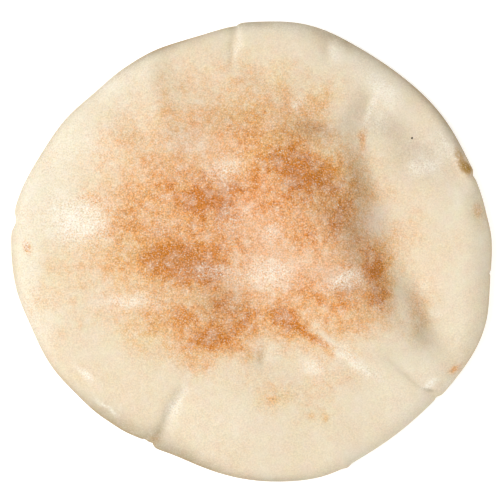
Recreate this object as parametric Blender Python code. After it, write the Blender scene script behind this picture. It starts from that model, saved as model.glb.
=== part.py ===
"""A round pita bread, baked, uncut and lying flat: one solid piece.

The dough is turned first as a plain round blank: a profile is spun about Z and its underside closed with
one flat face. Every point of the blank is then moved to its place in the real bread. Sideways it follows
the uneven outline, and upwards it follows the crust: a rolled rim, a low crown, and the puffs and creases
left where the pocket sank. Lengths are in metres, bearings in degrees anticlockwise from +X, and +Z is up.
The origin is at the middle of the bread's box, on the surface it lies on.
"""

import math
from typing import NamedTuple

import bmesh
import bpy
import numpy as np

# ---- driving dimensions ----
BASE_RADIUS = 0.0790  # the outline before its lobes and nicks
WAIST_HEIGHT = 0.0042  # where the rim is widest
SHOULDER_HEIGHT = 0.0090  # where the rim rolls over into the top
CROWN_RISE = 0.0048  # how much higher the middle is than the shoulder
RIM_ROLL = 0.0065  # how far in from the edge the rim rolls over
UNDER_ROLL = 0.0100  # how far in from the edge the flat underside starts
NICK_REACH = 0.0120  # how far in from the edge a nick still shows
RELIEF_FADE = 0.0060  # puffs and creases die out over this last stretch before the edge

SECTORS = 128
TOP_RINGS = 24
ROLL_RINGS = 6
UNDER_RINGS = 3

CRUST_COLOUR = (0.78, 0.60, 0.38, 1.0)
CRUST_ROUGHNESS = 0.85


class Lobe(NamedTuple):
    """A swelling of the outline, or of the rim's roll, around one bearing."""

    bearing: float
    swell: float
    spread: float  # degrees to either side


class Nick(NamedTuple):
    """A small notch in the edge. The dough beside it laps out, anticlockwise of it if lap is positive."""

    bearing: float
    depth: float
    reach: float
    lap: float
    run: float


class Crease(NamedTuple):
    """A valley from start to end, bowed to its left, with its own width on each side.

    A bottom power of 2 makes a round bottom, and 1.2 makes a sharp one.
    """

    start: tuple
    end: tuple
    bow: float
    depth: float
    left: float
    right: float
    fade_in: float
    fade_out: float
    bottom: float


class Puff(NamedTuple):
    """A long round swelling, or a dimple if its rise is negative. Its length points along the bearing."""

    at: tuple
    length: float
    width: float
    bearing: float
    rise: float


OUTLINE = [
    Lobe(327, 0.0009, 50),
    Lobe(342, 0.0042, 17),
    Lobe(353, -0.0010, 8),
    Lobe(6, 0.0024, 14),
    Lobe(9, -0.0004, 4),
    Lobe(34, 0.0013, 14),
    Lobe(76, 0.0015, 11),
    Lobe(102, -0.0004, 6),
    Lobe(113, -0.0026, 19),
    Lobe(116, 0.0006, 6),
    Lobe(135, -0.0013, 8),
    Lobe(154, -0.0005, 9),
    Lobe(174, 0.0040, 19),
    Lobe(190, 0.0008, 7),
    Lobe(206, 0.0004, 9),
    Lobe(219, -0.0008, 7),
    Lobe(235, 0.0005, 4),
    Lobe(241, -0.0046, 16),
    Lobe(249, -0.0006, 6),
    Lobe(256, -0.0012, 8),
    Lobe(265, -0.0010, 9),
    Lobe(288, 0.0013, 9),
]

NICKS = [
    Nick(19.2, 0.0004, 0.0009, 0.0007, 0.006),
    Nick(94, 0.0002, 0.0012, -0.0010, 0.007),
    Nick(172.6, 0.0012, 0.0024, 0.0, 0.006),
    Nick(240.4, 0.0004, 0.0010, 0.0, 0.003),
    Nick(242.5, 0.0003, 0.0012, 0.0014, 0.008),
    Nick(294, -0.0006, 0.0013, -0.0002, 0.004),
    Nick(322, 0.0004, 0.0009, 0.0007, 0.012),
    Nick(355, 0.0004, 0.0006, 0.0, 0.004),
]

STEEPER_ROLL = [
    Lobe(50, 0.0030, 35),
    Lobe(118, 0.0008, 16),
    Lobe(180, -0.0010, 25),
    Lobe(226, 0.0030, 22),
    Lobe(256, 0.0015, 12),
    Lobe(350, 0.0025, 22),
]

CREASES = [
    # the long valley where the pocket sank beside the hump, its sharp tip, and its two tails towards the rim
    Crease((0.0385, 0.0340), (0.0510, -0.0140), 0.0024, 0.0052, 0.0150, 0.0105, 0.012, 0.012, 1.9),
    Crease((0.0385, 0.0430), (0.0430, 0.0210), 0.0004, 0.0008, 0.0040, 0.0080, 0.004, 0.008, 1.6),
    Crease((0.0540, -0.0060), (0.0630, -0.0290), 0.0010, 0.0026, 0.0090, 0.0065, 0.007, 0.006, 1.6),
    Crease((0.0630, -0.0270), (0.0700, -0.0410), 0.0005, 0.0008, 0.0050, 0.0070, 0.005, 0.004, 1.5),
    # two folds that run out from the hump to the rim
    Crease((0.0100, -0.0200), (0.0430, -0.0435), -0.0006, 0.0020, 0.0034, 0.0045, 0.006, 0.009, 1.3),
    Crease((0.0455, -0.0355), (0.0660, -0.0510), -0.0010, 0.0012, 0.0040, 0.0032, 0.005, 0.002, 1.2),
    # creases that end in nicks in the rim
    Crease((-0.0230, -0.0480), (-0.0345, -0.0675), -0.0006, 0.0016, 0.0070, 0.0028, 0.006, 0.002, 1.2),
    Crease((-0.0064, 0.0640), (-0.0060, 0.0800), 0.0, 0.0012, 0.0050, 0.0028, 0.006, 0.002, 1.3),
    Crease((-0.0740, 0.0095), (-0.0830, 0.0110), 0.0, 0.0004, 0.0030, 0.0030, 0.005, 0.002, 1.3),
    # short dents near the top edge
    Crease((0.0255, 0.0660), (0.0270, 0.0760), 0.0, 0.0007, 0.0035, 0.0040, 0.004, 0.003, 1.5),
    Crease((0.0385, 0.0470), (0.0430, 0.0570), 0.0, 0.0009, 0.0060, 0.0050, 0.004, 0.006, 1.5),
]

PUFFS = [
    # the hump, one long ridge in swellings, and the hollow at its foot
    Puff((0.0210, 0.0100), 0.0290, 0.0155, 116, 0.0058),
    Puff((0.0400, -0.0245), 0.0200, 0.0120, 148, 0.0042),
    Puff((0.0060, 0.0400), 0.0115, 0.0165, 90, 0.0027),
    Puff((0.0330, 0.0260), 0.0080, 0.0055, 100, 0.0022),
    Puff((0.0270, 0.0040), 0.0100, 0.0060, 120, 0.0012),
    Puff((0.0400, -0.0120), 0.0080, 0.0050, 120, 0.0012),
    Puff((0.0060, 0.0190), 0.0140, 0.0080, 110, 0.0024),
    Puff((-0.0010, -0.0175), 0.0160, 0.0125, -60, -0.0037),
    Puff((0.0160, -0.0400), 0.0140, 0.0080, -50, -0.0016),
    # broad low swellings and hollows of the sunken pocket
    Puff((-0.0580, 0.0180), 0.0150, 0.0150, 80, -0.0020),
    Puff((0.0640, 0.0330), 0.0170, 0.0110, -50, -0.0023),
    Puff((-0.0320, -0.0060), 0.0180, 0.0100, 0, 0.0022),
    Puff((-0.0600, -0.0150), 0.0090, 0.0080, 0, 0.0005),
    Puff((-0.0220, 0.0190), 0.0150, 0.0090, 175, 0.0019),
    Puff((-0.0040, 0.0160), 0.0045, 0.0040, 0, -0.0006),
    Puff((-0.0420, 0.0350), 0.0100, 0.0060, 150, 0.0019),
    Puff((-0.0310, 0.0450), 0.0140, 0.0060, 98, 0.0018),
    Puff((-0.0170, 0.0420), 0.0110, 0.0070, 0, 0.0013),
    Puff((-0.0120, 0.0260), 0.0080, 0.0060, 0, 0.0009),
    Puff((-0.0480, -0.0060), 0.0100, 0.0070, 0, 0.0007),
    Puff((0.0590, -0.0320), 0.0060, 0.0050, 0, 0.0007),
    Puff((0.0430, 0.0280), 0.0080, 0.0045, 100, 0.0006),
    Puff((0.0150, 0.0170), 0.0080, 0.0060, 120, 0.0010),
    Puff((-0.0060, 0.0080), 0.0060, 0.0060, 0, 0.0007),
    Puff((-0.0150, 0.0160), 0.0060, 0.0060, 0, 0.0007),
    Puff((0.0260, 0.0200), 0.0050, 0.0050, 0, 0.0007),
    Puff((0.0310, -0.0210), 0.0070, 0.0060, 0, 0.0007),
    Puff((0.0510, 0.0420), 0.0100, 0.0065, -20, -0.0015),
    Puff((0.0510, -0.0160), 0.0070, 0.0040, 120, 0.0008),
    Puff((-0.0080, -0.0570), 0.0080, 0.0060, 0, -0.0005),
    Puff((-0.0160, 0.0590), 0.0120, 0.0070, 0, -0.0011),
    Puff((0.0020, 0.0610), 0.0060, 0.0060, 0, -0.0010),
    Puff((0.0360, 0.0560), 0.0120, 0.0080, 0, 0.0010),
    Puff((0.0740, 0.0030), 0.0140, 0.0050, 90, 0.0005),
    Puff((0.0510, -0.0300), 0.0060, 0.0050, 140, 0.0009),
    # small dimples and lumps
    Puff((0.0015, -0.0360), 0.0030, 0.0026, 90, -0.0009),
    Puff((-0.0010, -0.0310), 0.0060, 0.0040, 0, 0.0005),
    Puff((0.0080, -0.0330), 0.0040, 0.0030, 90, 0.0004),
    Puff((0.0560, -0.0450), 0.0070, 0.0040, -38, 0.0006),
]


def smooth(share):
    """0 below 0, 1 above 1, and a smooth S between them."""
    share = np.clip(share, 0.0, 1.0)
    return share * share * (3.0 - 2.0 * share)


def turn_from(bearing, degrees):
    """The signed turn from a bearing given in degrees to the ones in the array, in radians."""
    return (bearing - math.radians(degrees) + math.pi) % (2.0 * math.pi) - math.pi


def lobes(bearing, listed):
    """The sum of bell curves of the turn from each lobe's bearing."""
    total = np.zeros_like(bearing)
    for lobe in listed:
        total += lobe.swell * np.exp(-((turn_from(bearing, lobe.bearing) / math.radians(lobe.spread)) ** 2))
    return total


def nicks(bearing):
    """How far the nicks and the laps beside them move the edge out, negative for inwards."""
    total = np.zeros_like(bearing)
    for nick in NICKS:
        along = turn_from(bearing, nick.bearing) * BASE_RADIUS
        total -= nick.depth * np.exp(-((along / nick.reach) ** 2))
        beside = np.maximum(along * np.sign(nick.lap), 0.0)
        total += abs(nick.lap) * (1.0 - np.exp(-beside / nick.reach)) * np.exp(-beside / nick.run)
    return total


def crease_relief(x, y, crease):
    """A valley along a bowed line, whose depth falls off as exp(-(distance / width) ** bottom)."""
    run = np.subtract(crease.end, crease.start)
    length = math.hypot(*run)
    run = run / length
    from_start_x = x - crease.start[0]
    from_start_y = y - crease.start[1]
    along = from_start_x * run[0] + from_start_y * run[1]
    share = np.clip(along / length, 0.0, 1.0)
    aside = from_start_y * run[0] - from_start_x * run[1] - crease.bow * 4.0 * share * (1.0 - share)
    width = np.where(aside > 0.0, crease.left, crease.right)
    valley = np.exp(-((np.abs(aside) / width) ** crease.bottom))
    fade_in = smooth((along + crease.fade_in) / (2.0 * crease.fade_in))
    fade_out = smooth((length - along + crease.fade_out) / (2.0 * crease.fade_out))
    return -crease.depth * valley * fade_in * fade_out


def puff_relief(x, y, puff):
    """A bell curve in two directions, turned to the puff's bearing."""
    angle = math.radians(puff.bearing)
    across_x = x - puff.at[0]
    across_y = y - puff.at[1]
    along = across_x * math.cos(angle) + across_y * math.sin(angle)
    aside = across_y * math.cos(angle) - across_x * math.sin(angle)
    return puff.rise * np.exp(-((along / puff.length) ** 2) - (aside / puff.width) ** 2)


def top_height(x, y, inset, share, roll):
    """The crust's height: a quarter round roll at the rim, then the crown, the creases and the puffs.

    inset is the distance in from the edge, and share is the distance out from the middle over the radius.
    """
    out = np.clip(1.0 - inset / roll, 0.0, 1.0)
    height = WAIST_HEIGHT + (SHOULDER_HEIGHT - WAIST_HEIGHT) * np.sqrt(1.0 - out**2)
    height += CROWN_RISE * (1.0 - share**2)
    relief = np.zeros_like(x)
    for crease in CREASES:
        relief += crease_relief(x, y, crease)
    for puff in PUFFS:
        relief += puff_relief(x, y, puff)
    return height + relief * smooth(inset / RELIEF_FADE)


def blank_profile():
    """The blank's half section on a radius of 1: x is the share of the radius, z says which side it is on.

    z is 1 at the top's middle and falls to 0 at the waist, then goes on to -1 at the flat's edge.
    """
    roll = RIM_ROLL / BASE_RADIUS
    points = []
    for k in range(TOP_RINGS + 1):
        share = k / TOP_RINGS
        points.append(((1.0 - roll) * share, 0.0, 1.0))
    for k in range(1, ROLL_RINGS + 1):
        angle = 0.5 * math.pi * k / ROLL_RINGS
        points.append((1.0 - roll + roll * math.sin(angle), 0.0, math.cos(angle) if k < ROLL_RINGS else 0.0))
    for k in range(1, UNDER_RINGS + 1):
        angle = 0.5 * math.pi * k / UNDER_RINGS
        under = UNDER_ROLL / BASE_RADIUS
        points.append((1.0 - under + under * math.cos(angle), 0.0, -math.sin(angle)))
    return points


def turned_blank():
    """Spins the profile about Z, welds the seam and the pole, and caps the flat underside with one face."""
    blank = bmesh.new()
    profile = [blank.verts.new(point) for point in blank_profile()]
    edges = [blank.edges.new(pair) for pair in zip(profile, profile[1:])]
    bmesh.ops.spin(
        blank,
        geom=profile + edges,
        axis=(0.0, 0.0, 1.0),
        cent=(0.0, 0.0, 0.0),
        steps=SECTORS,
        angle=2.0 * math.pi,
    )
    bmesh.ops.remove_doubles(blank, verts=blank.verts, dist=1e-5)
    rim = [edge for edge in blank.edges if edge.is_boundary]
    bmesh.ops.contextual_create(blank, geom=rim)
    bmesh.ops.recalc_face_normals(blank, faces=blank.faces)
    return blank


def bake_into_form(points):
    """Moves the blank's points to the bread's surface, whose outline is centred on its own box."""
    bearing = np.arctan2(points[:, 1], points[:, 0])
    share = np.hypot(points[:, 0], points[:, 1])
    radius = BASE_RADIUS + lobes(bearing, OUTLINE)
    edge_shift = nicks(bearing)
    inset_round = (1.0 - share) * radius
    out = inset_round - edge_shift * smooth(1.0 - inset_round / NICK_REACH)
    x = (radius - out) * np.cos(bearing)
    y = (radius - out) * np.sin(bearing)
    x -= (x.min() + x.max()) / 2.0
    y -= (y.min() + y.max()) / 2.0
    roll = RIM_ROLL + lobes(bearing, STEEPER_ROLL)
    top = top_height(x, y, inset_round, share, roll)
    under = WAIST_HEIGHT * (1.0 + points[:, 2])
    height = np.where(points[:, 2] < -1e-6, under, top)
    return np.stack([x, y, np.maximum(height, 0.0)], axis=1)


def crust_material():
    """The pale wheat crust."""
    material = bpy.data.materials.new("pita crust")
    material.use_nodes = True
    shader = material.node_tree.nodes["Principled BSDF"]
    shader.inputs["Base Color"].default_value = CRUST_COLOUR
    shader.inputs["Roughness"].default_value = CRUST_ROUGHNESS
    shader.inputs["Metallic"].default_value = 0.0
    return material


def make_pita():
    """The whole bread as one object, with its origin under the middle of its box."""
    mesh = bpy.data.meshes.new("pita")
    blank = turned_blank()
    blank.to_mesh(mesh)
    blank.free()
    points = np.empty(len(mesh.vertices) * 3)
    mesh.vertices.foreach_get("co", points)
    points = bake_into_form(points.reshape(-1, 3))
    mesh.vertices.foreach_set("co", points.ravel())
    mesh.shade_smooth()
    mesh.update()
    pita = bpy.data.objects.new("pita", mesh)
    pita.data.materials.append(crust_material())
    bpy.context.scene.collection.objects.link(pita)
    return pita


def main():
    for thing in list(bpy.data.objects):
        bpy.data.objects.remove(thing)
    make_pita()


main()
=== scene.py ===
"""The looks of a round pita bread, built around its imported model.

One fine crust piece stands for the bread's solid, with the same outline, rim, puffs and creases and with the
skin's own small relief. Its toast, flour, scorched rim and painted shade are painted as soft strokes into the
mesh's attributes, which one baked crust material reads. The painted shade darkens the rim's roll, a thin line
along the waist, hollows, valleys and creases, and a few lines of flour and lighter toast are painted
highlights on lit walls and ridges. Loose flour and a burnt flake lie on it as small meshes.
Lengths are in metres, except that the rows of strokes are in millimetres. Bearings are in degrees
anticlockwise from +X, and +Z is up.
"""

import math
from typing import NamedTuple

import bpy
import numpy as np
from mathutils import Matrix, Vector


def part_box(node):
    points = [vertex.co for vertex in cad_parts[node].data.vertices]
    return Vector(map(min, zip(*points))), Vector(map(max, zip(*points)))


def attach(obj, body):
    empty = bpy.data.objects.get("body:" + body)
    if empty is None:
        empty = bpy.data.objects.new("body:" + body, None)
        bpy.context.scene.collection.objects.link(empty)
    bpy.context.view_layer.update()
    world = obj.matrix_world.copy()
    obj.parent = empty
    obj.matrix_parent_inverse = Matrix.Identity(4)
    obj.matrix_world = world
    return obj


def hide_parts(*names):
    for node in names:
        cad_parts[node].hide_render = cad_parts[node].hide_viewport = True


bl_info = {
    "name": "Pita Bread",
    "version": (1, 0, 0),
    "blender": (4, 5, 0),
    "location": "3D View > Sidebar > Pita",
    "description": "Builds a baked pita bread with its flour and burnt flake, and a studio to see it in",
    "category": "Add Mesh",
}

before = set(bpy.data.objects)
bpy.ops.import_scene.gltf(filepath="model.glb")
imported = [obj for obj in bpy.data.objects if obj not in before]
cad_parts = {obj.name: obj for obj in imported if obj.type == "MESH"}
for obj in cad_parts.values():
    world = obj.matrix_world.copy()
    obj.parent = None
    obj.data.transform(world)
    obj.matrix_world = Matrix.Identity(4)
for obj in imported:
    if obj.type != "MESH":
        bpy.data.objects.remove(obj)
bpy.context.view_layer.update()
BREAD_LOW, BREAD_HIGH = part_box("pita")
BODY = "root"
MM = 0.001

# on the way from floured dough at 0 to the darkest toast at 1: untoasted dough, and what a stroke of 1 adds
DOUGH_TONE = 0.063
TOAST_REACH = 0.674

# the underside's even flour and tint
UNDER_FLOUR = 0.15
UNDER_TINT = 0.4

# how far chance shifts bend the borders of strokes, and how firm the borders are
SOFT_BEND, SOFT_POWER = 1.6 * MM, 1.15
LINE_BEND, LINE_POWER = 0.4 * MM, 1.3
SPOT_BEND, SPOT_POWER = 0.8 * MM, 1.5
FIRM_BEND, FIRM_POWER = 0.5 * MM, 3.0

# chance hills, in layers of strength, grain and seed
SKIN_HILLS = [(0.50 * MM, 11 * MM, 21), (0.16 * MM, 4.2 * MM, 22), (0.05 * MM, 1.7 * MM, 23)]
UNDER_HILLS = [(1.1 * MM, 14 * MM, 31), (0.66 * MM, 6 * MM, 32)]
BEND_ACROSS = [(1.0, 7 * MM, 1), (1.0, 3 * MM, 2)]
BEND_UP = [(1.0, 7 * MM, 3), (1.0, 3 * MM, 4)]
TOAST_LUMPS = [(0.24, 5.5 * MM, 5), (0.32, 2.6 * MM, 6), (0.32, 1.3 * MM, 7)]
TOAST_FRAYS = [(0.10, 6 * MM, 8), (0.10, 2.5 * MM, 9)]
WARMTH = [(0.09, 9 * MM, 10), (0.06, 4 * MM, 11)]
TINT_HILLS = [(0.30, 3.4 * MM, 12), (0.30, 1.6 * MM, 13)]

# a loose lump's height over its width, how uneven it is, how much longer it may be, and how far it is lifted
LUMP_FLATNESS = 0.5
LUMP_UNEVENNESS = 0.35
LUMP_STRETCH = 0.5
LUMP_LIFT = 0.30

# the round UV islands of the top and the underside: the middle, which both axes share, and the radius
TOP_ISLAND = (0.355, 0.345)
UNDER_ISLAND = (0.775, 0.215)

# for a mesh without quads or without triangles
NO_FACES = np.zeros((0, 4), int)

# from the middle of the floor to its edges, and its cells each way
FLOOR_REACH = 2.0
FLOOR_CELLS = 8


class Lobe(NamedTuple):
    """A swelling around one bearing: of the outline, of a width along the rim, or of a mark's strength."""

    bearing: float
    swell: float
    spread: float  # degrees to either side


class Nick(NamedTuple):
    """A small notch in the edge. The dough beside it laps out, anticlockwise of it if lap is positive."""

    bearing: float
    depth: float
    reach: float
    lap: float
    run: float


class Crease(NamedTuple):
    """A valley from start to end, bowed to its left, with its own width on each side.

    A bottom power of 2 makes a round bottom, and 1.2 makes a sharp one.
    """

    start: tuple
    end: tuple
    bow: float
    depth: float
    left: float
    right: float
    fade_in: float
    fade_out: float
    bottom: float


class Stroke(NamedTuple):
    """A soft oval whose length lies along the bearing. Its amount is a puff's rise or a mark's strength."""

    at: tuple
    length: float
    width: float
    bearing: float
    amount: float


def strokes(*rows, unit=1.0):
    """Strokes from rows of x, y, length and width in millimetres, the bearing, and the amount in the unit."""
    return [
        Stroke((x * MM, y * MM), length * MM, width * MM, bearing, amount * unit)
        for x, y, length, width, bearing, amount in rows
    ]


OUTLINE = [
    Lobe(327, 0.0009, 50),
    Lobe(342, 0.0042, 17),
    Lobe(353, -0.0010, 8),
    Lobe(6, 0.0024, 14),
    Lobe(9, -0.0004, 4),
    Lobe(34, 0.0013, 14),
    Lobe(76, 0.0015, 11),
    Lobe(102, -0.0004, 6),
    Lobe(113, -0.0026, 19),
    Lobe(116, 0.0006, 6),
    Lobe(135, -0.0013, 8),
    Lobe(154, -0.0005, 9),
    Lobe(174, 0.0040, 19),
    Lobe(190, 0.0008, 7),
    Lobe(206, 0.0004, 9),
    Lobe(219, -0.0008, 7),
    Lobe(235, 0.0005, 4),
    Lobe(241, -0.0046, 16),
    Lobe(249, -0.0006, 6),
    Lobe(256, -0.0012, 8),
    Lobe(265, -0.0010, 9),
    Lobe(288, 0.0013, 9),
]

NICKS = [
    Nick(19.2, 0.0004, 0.0009, 0.0007, 0.006),
    Nick(94, 0.0002, 0.0012, -0.0010, 0.007),
    Nick(172.6, 0.0012, 0.0024, 0.0, 0.006),
    Nick(240.4, 0.0004, 0.0010, 0.0, 0.003),
    Nick(242.5, 0.0003, 0.0012, 0.0014, 0.008),
    Nick(294, -0.0006, 0.0013, -0.0002, 0.004),
    Nick(322, 0.0004, 0.0009, 0.0007, 0.012),
    Nick(355, 0.0004, 0.0006, 0.0, 0.004),
]

STEEPER_ROLL = [
    Lobe(50, 0.0030, 35),
    Lobe(118, 0.0008, 16),
    Lobe(180, -0.0010, 25),
    Lobe(226, 0.0030, 22),
    Lobe(256, 0.0015, 12),
    Lobe(350, 0.0025, 22),
]

CREASES = [
    # the long valley where the pocket sank beside the hump, its sharp tip, and its two tails towards the rim
    Crease((0.0385, 0.0340), (0.0510, -0.0140), 0.0024, 0.0052, 0.0150, 0.0105, 0.012, 0.012, 1.9),
    Crease((0.0385, 0.0430), (0.0430, 0.0210), 0.0004, 0.0008, 0.0040, 0.0080, 0.004, 0.008, 1.6),
    Crease((0.0540, -0.0060), (0.0630, -0.0290), 0.0010, 0.0026, 0.0090, 0.0065, 0.007, 0.006, 1.6),
    Crease((0.0630, -0.0270), (0.0700, -0.0410), 0.0005, 0.0008, 0.0050, 0.0070, 0.005, 0.004, 1.5),
    # two folds that run out from the hump to the rim
    Crease((0.0100, -0.0200), (0.0430, -0.0435), -0.0006, 0.0020, 0.0034, 0.0045, 0.006, 0.009, 1.3),
    Crease((0.0455, -0.0355), (0.0660, -0.0510), -0.0010, 0.0012, 0.0040, 0.0032, 0.005, 0.002, 1.2),
    # creases that end in nicks in the rim
    Crease((-0.0230, -0.0480), (-0.0345, -0.0675), -0.0006, 0.0016, 0.0070, 0.0028, 0.006, 0.002, 1.2),
    Crease((-0.0064, 0.0640), (-0.0060, 0.0800), 0.0, 0.0012, 0.0050, 0.0028, 0.006, 0.002, 1.3),
    Crease((-0.0740, 0.0095), (-0.0830, 0.0110), 0.0, 0.0004, 0.0030, 0.0030, 0.005, 0.002, 1.3),
    # short dents near the top edge
    Crease((0.0255, 0.0660), (0.0270, 0.0760), 0.0, 0.0007, 0.0035, 0.0040, 0.004, 0.003, 1.5),
    Crease((0.0385, 0.0470), (0.0430, 0.0570), 0.0, 0.0009, 0.0060, 0.0050, 0.004, 0.006, 1.5),
]

# a split where the lower fold meets the rim, too fine for the bread's solid
SPLITS = [
    Crease((0.0595, -0.0467), (0.0645, -0.0495), 0.0003, 0.0006, 0.0005, 0.0005, 0.001, 0.001, 1.5),
]

PUFFS = strokes(
    # the hump, one long ridge in swellings, and the hollow at its foot
    (21, 10, 29, 15.5, 116, 5.8),
    (40, -24.5, 20, 12, 148, 4.2),
    (6, 40, 11.5, 16.5, 90, 2.7),
    (33, 26, 8, 5.5, 100, 2.2),
    (27, 4, 10, 6, 120, 1.2),
    (40, -12, 8, 5, 120, 1.2),
    (6, 19, 14, 8, 110, 2.4),
    (-1, -17.5, 16, 12.5, -60, -3.7),
    (16, -40, 14, 8, -50, -1.6),
    # broad low swellings and hollows of the sunken pocket
    (-58, 18, 15, 15, 80, -2),
    (64, 33, 17, 11, -50, -2.3),
    (-32, -6, 18, 10, 0, 2.2),
    (-60, -15, 9, 8, 0, 0.5),
    (-22, 19, 15, 9, 175, 1.9),
    (-4, 16, 4.5, 4, 0, -0.6),
    (-42, 35, 10, 6, 150, 1.9),
    (-31, 45, 14, 6, 98, 1.8),
    (-17, 42, 11, 7, 0, 1.3),
    (-12, 26, 8, 6, 0, 0.9),
    (-48, -6, 10, 7, 0, 0.7),
    (59, -32, 6, 5, 0, 0.7),
    (43, 28, 8, 4.5, 100, 0.6),
    (15, 17, 8, 6, 120, 1),
    (-6, 8, 6, 6, 0, 0.7),
    (-15, 16, 6, 6, 0, 0.7),
    (26, 20, 5, 5, 0, 0.7),
    (31, -21, 7, 6, 0, 0.7),
    (51, 42, 10, 6.5, -20, -1.5),
    (51, -16, 7, 4, 120, 0.8),
    (-8, -57, 8, 6, 0, -0.5),
    (-16, 59, 12, 7, 0, -1.1),
    (2, 61, 6, 6, 0, -1),
    (36, 56, 12, 8, 0, 1),
    (74, 3, 14, 5, 90, 0.5),
    (51, -30, 6, 5, 140, 0.9),
    # small dimples and lumps
    (1.5, -36, 3, 2.6, 90, -0.9),
    (-1, -31, 6, 4, 0, 0.5),
    (8, -33, 4, 3, 90, 0.4),
    (56, -45, 7, 4, -38, 0.6),
    unit=MM,
)

# where the oven browned the crust
TOAST = strokes(
    # the broad warm ground
    (-6, 6, 56, 50, 10, 0.16),
    (-28, 10, 24, 22, 0, 0.58),
    (10, 32, 26, 18, -40, 0.46),
    (24, 6, 17, 22, 0, 0.38),
    (-6, -22, 28, 12, 6, 0.50),
    (32, -19, 16, 8, -14, 0.34),
    (-2, 48, 30, 10, 0, 0.18),
    (-5, 6, 12, 12, 0, 0.32),
    (-42, 36, 12, 14, 40, 0.18),
    (-51.5, -5, 11.5, 6.5, 0, 0.20),
    (-38, -22, 13, 8, 10, 0.22),
    # the deep patches on the left
    (-27, -3, 11, 7, -5, 0.88),
    (-18, 16.5, 8, 5, 20, 0.62),
    (-13.5, 18, 3.5, 2.2, 10, 0.35),
    (-26, 26, 8, 4, 15, 0.15),
    (-42.5, 11.5, 8, 4.5, 65, 0.12),
    (-11, 1.5, 6, 2.6, 10, 0.34),
    (-18, -6.2, 8.5, 4.8, 0, 1.10),
    (-9, 19.5, 8, 5, 15, 0.62),
    (-41, 4, 6, 4, 0, 0.10),
    (-29, 30, 6, 3.5, 0, 0.14),
    (-48, 36, 6, 6, 0, 0.20),
    # the deep patches over the hump
    (22.5, 25, 9, 6.5, 0, 0.60),
    (10, 32.5, 8.5, 4.5, 20, 0.50),
    (0.5, 24, 4, 3.5, 80, 0.30),
    (31, 13, 7, 3.5, 70, 0.50),
    (17, 4, 6, 4.6, 0, 0.36),
    (6, 18, 4.5, 4, 0, 0.26),
    (27.5, 28.5, 4, 3, 0, 0.22),
    (10, 30, 7, 3.5, 20, 0.36),
    (14, 24, 4, 3, 0, 0.50),
    (0, 35, 6, 3.5, 0, 0.18),
    (41.3, -3, 6.5, 3.6, 98, 0.72),
    (42.8, -12.5, 7.5, 4.2, 107, 0.90),
    (46, -1, 6, 4.5, 100, 0.40),
    (38, 38.5, 2, 3, 0, 0.16),
    (34, -8.5, 6, 4.5, 0, 0.24),
    # the deep patches below the hump
    (30, -17.5, 9, 3.4, -4, 0.06),
    (15, -12, 8, 5, 0, 0.16),
    (12.5, -24, 7, 3, -42, 0.62),
    (22, -31, 7, 1.8, -38, 0.72),
    (25, -25, 6, 3, -35, 0.16),
    (-1, -22, 5, 4, 0, 0.42),
    (10, -22, 5, 3.5, -30, 0.22),
    (-35, -5, 6, 3, 0, 0.10),
    (-22, 25, 6, 3, 15, 0.15),
    (-14, -30, 9.5, 4, 8, 1.05),
    (-23, -22, 4.5, 4.5, 0, 0.34),
    (-11, -18.5, 4, 2.8, 0, 0.12),
    (-18, -38, 6, 3.6, 0, 0.26),
    (-3, -34.5, 6, 3, 0, 0.34),
    (20, -35, 7, 2.2, -38, 0.22),
    (34, -28.5, 6, 3.5, 0, 0.16),
    (-15, 26, 4, 3, 0, 0.22),
    (-8, 11, 4, 3, 0, 0.25),
    (-23, 40.5, 5, 3.5, 0, 0.20),
    (-22, 63, 16, 6, 10, 0.10),
    (37.8, 37.5, 4.5, 1.3, 88, 0.40),
    (34.5, -24.5, 4.5, 3.5, 0, 0.22),
    (44.5, -16.5, 4, 3, 0, 0.20),
    (33, -34.5, 7, 4, -35, 0.24),
    (22, -25, 4, 3, -40, 0.16),
    (23, -32.5, 6, 3, -40, 0.16),
    (23, 35, 5, 3, -30, -0.16),
    # lighter places in the toast, and a painted highlight: less toast on the lit ridge beside the lower fold
    (-27, 12.5, 7, 3.5, 10, -0.28),
    (25, 16, 4, 3.5, 0, -0.10),
    (20, 9, 3.5, 3.5, 0, -0.18),
    (1, 8, 3.5, 3.5, 0, -0.24),
    (25, -7, 4, 3, 0, -0.24),
    (11, 42, 5, 3, 0, -0.12),
    (18, 36.5, 5, 3.5, -30, -0.06),
    (-18, -26, 3.5, 2.5, 0, -0.22),
    # painted highlight on the lit ridge beside the lower fold
    (23.5, -27.5, 11, 1.8, -50, -0.12),
    # the soft golden strip along the top
    (-5, 39, 6, 4, -30, 0.12),
    (19, 43, 5, 4, 0, 0.12),
    (-23, 46.5, 7, 3.6, 0, 0.24),
    (23, 53, 4, 6, 0, 0.14),
    # faint patches on the pale dough
    (-68, -14, 12, 22, 0, 0.10),
    (2, -42, 17, 4, 0, 0.09),
    (6, 60.5, 24, 4.5, 0, 0.13),
    (-26, 56, 5, 5, 0, 0.12),
    (-66, -13, 8, 13, 25, 0.10),
    (-58, -25, 5, 4, 0, 0.10),
    (-47, 14, 4, 5, 0, 0.14),
    (54, -27.5, 6, 6.5, 0, 0.13),
    (55, -13, 5, 8, 10, 0.10),
    (40, 14, 3, 7, 0, 0.10),
    (-68, 32, 6, 8, 0, 0.08),
    (8, -49, 8, 5, 0, 0.13),
    (24, -51, 9, 8, 0, 0.15),
    (58, -20, 10, 6, 100, 0.18),
    (53, 8, 7, 6, 0, 0.12),
    (52, 19, 8, 3, 0, 0.10),
    (34, -43, 8, 4, 0, 0.12),
    (-54, 18, 4, 4, 0, 0.26),
)

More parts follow.
